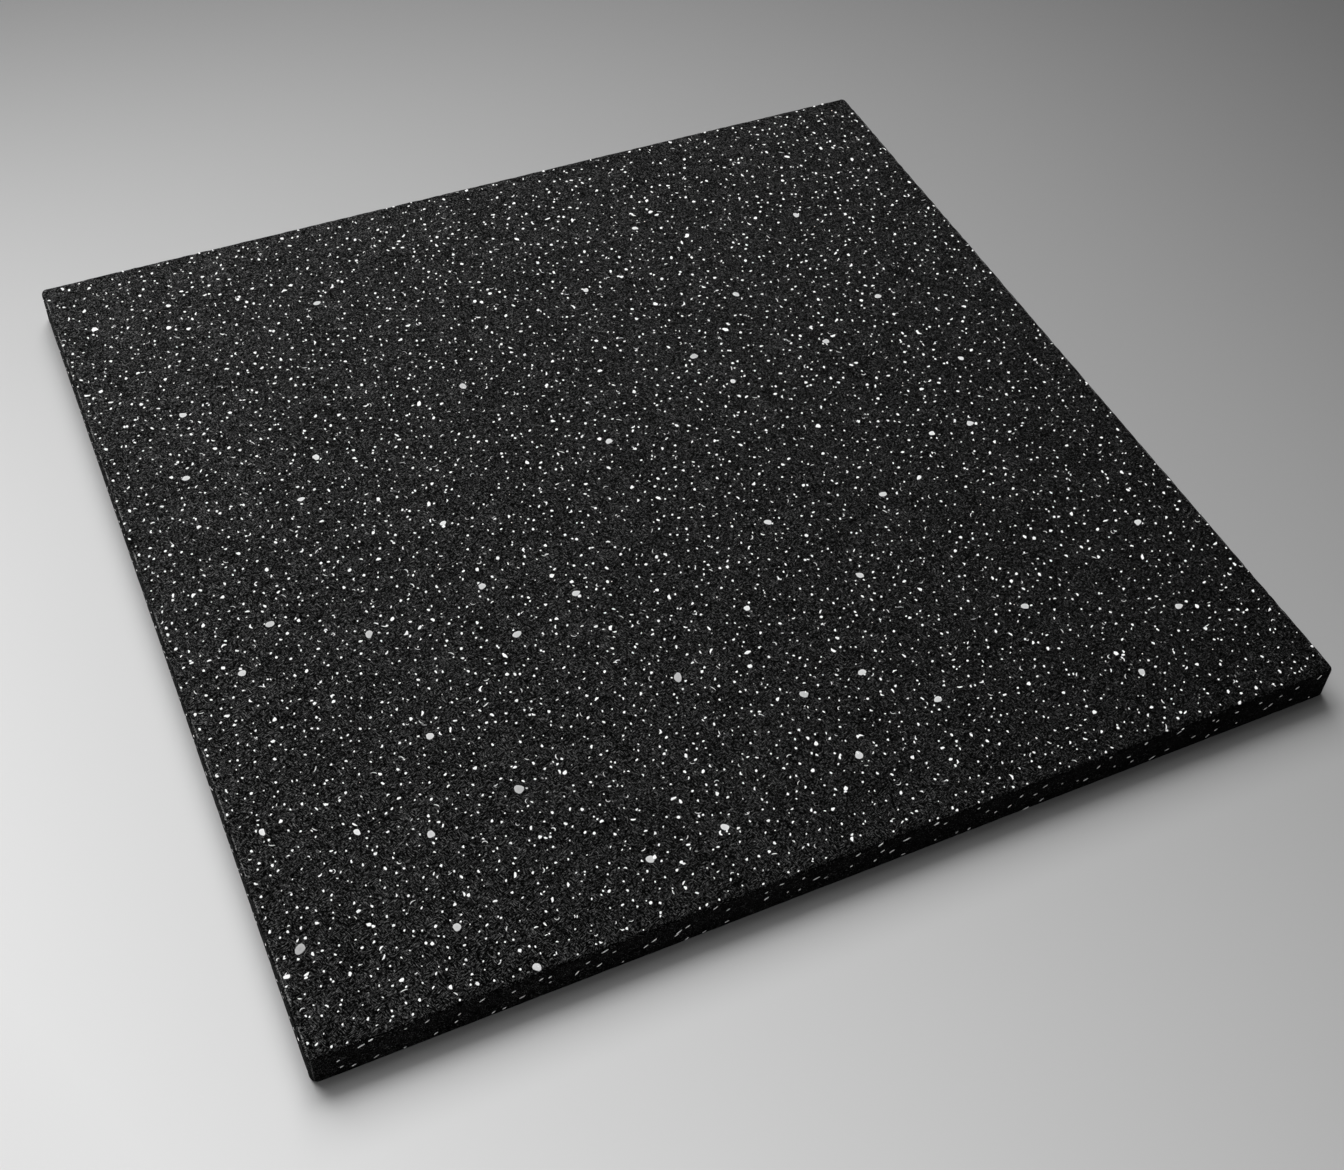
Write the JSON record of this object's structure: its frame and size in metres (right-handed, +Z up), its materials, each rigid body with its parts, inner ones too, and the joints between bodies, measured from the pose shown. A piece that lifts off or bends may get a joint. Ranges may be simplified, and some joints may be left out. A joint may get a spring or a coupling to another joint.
{
  "type": "square rubber floor mat",
  "caption": "Square slab of black crumb rubber flecked with pale chips, with straight butt edges and eased rims, laid edge to edge as impact-absorbing floor covering.",
  "frame": {"origin": "middle of the underside, on the floor that the mat lies on", "axes": "+Z up out of the tread face; +X along the front edge, to the right; +Y from the front edge to the back edge. The mat is the same seen from each side."},
  "size_m": [0.5, 0.5, 0.02],
  "materials": {
    "crumb_rubber": "matte",
    "pale_chips": "matte"
  },
  "bodies": {
    "root": {"rubber_mat": "crumb_rubber"}
  },
  "joints": []
}
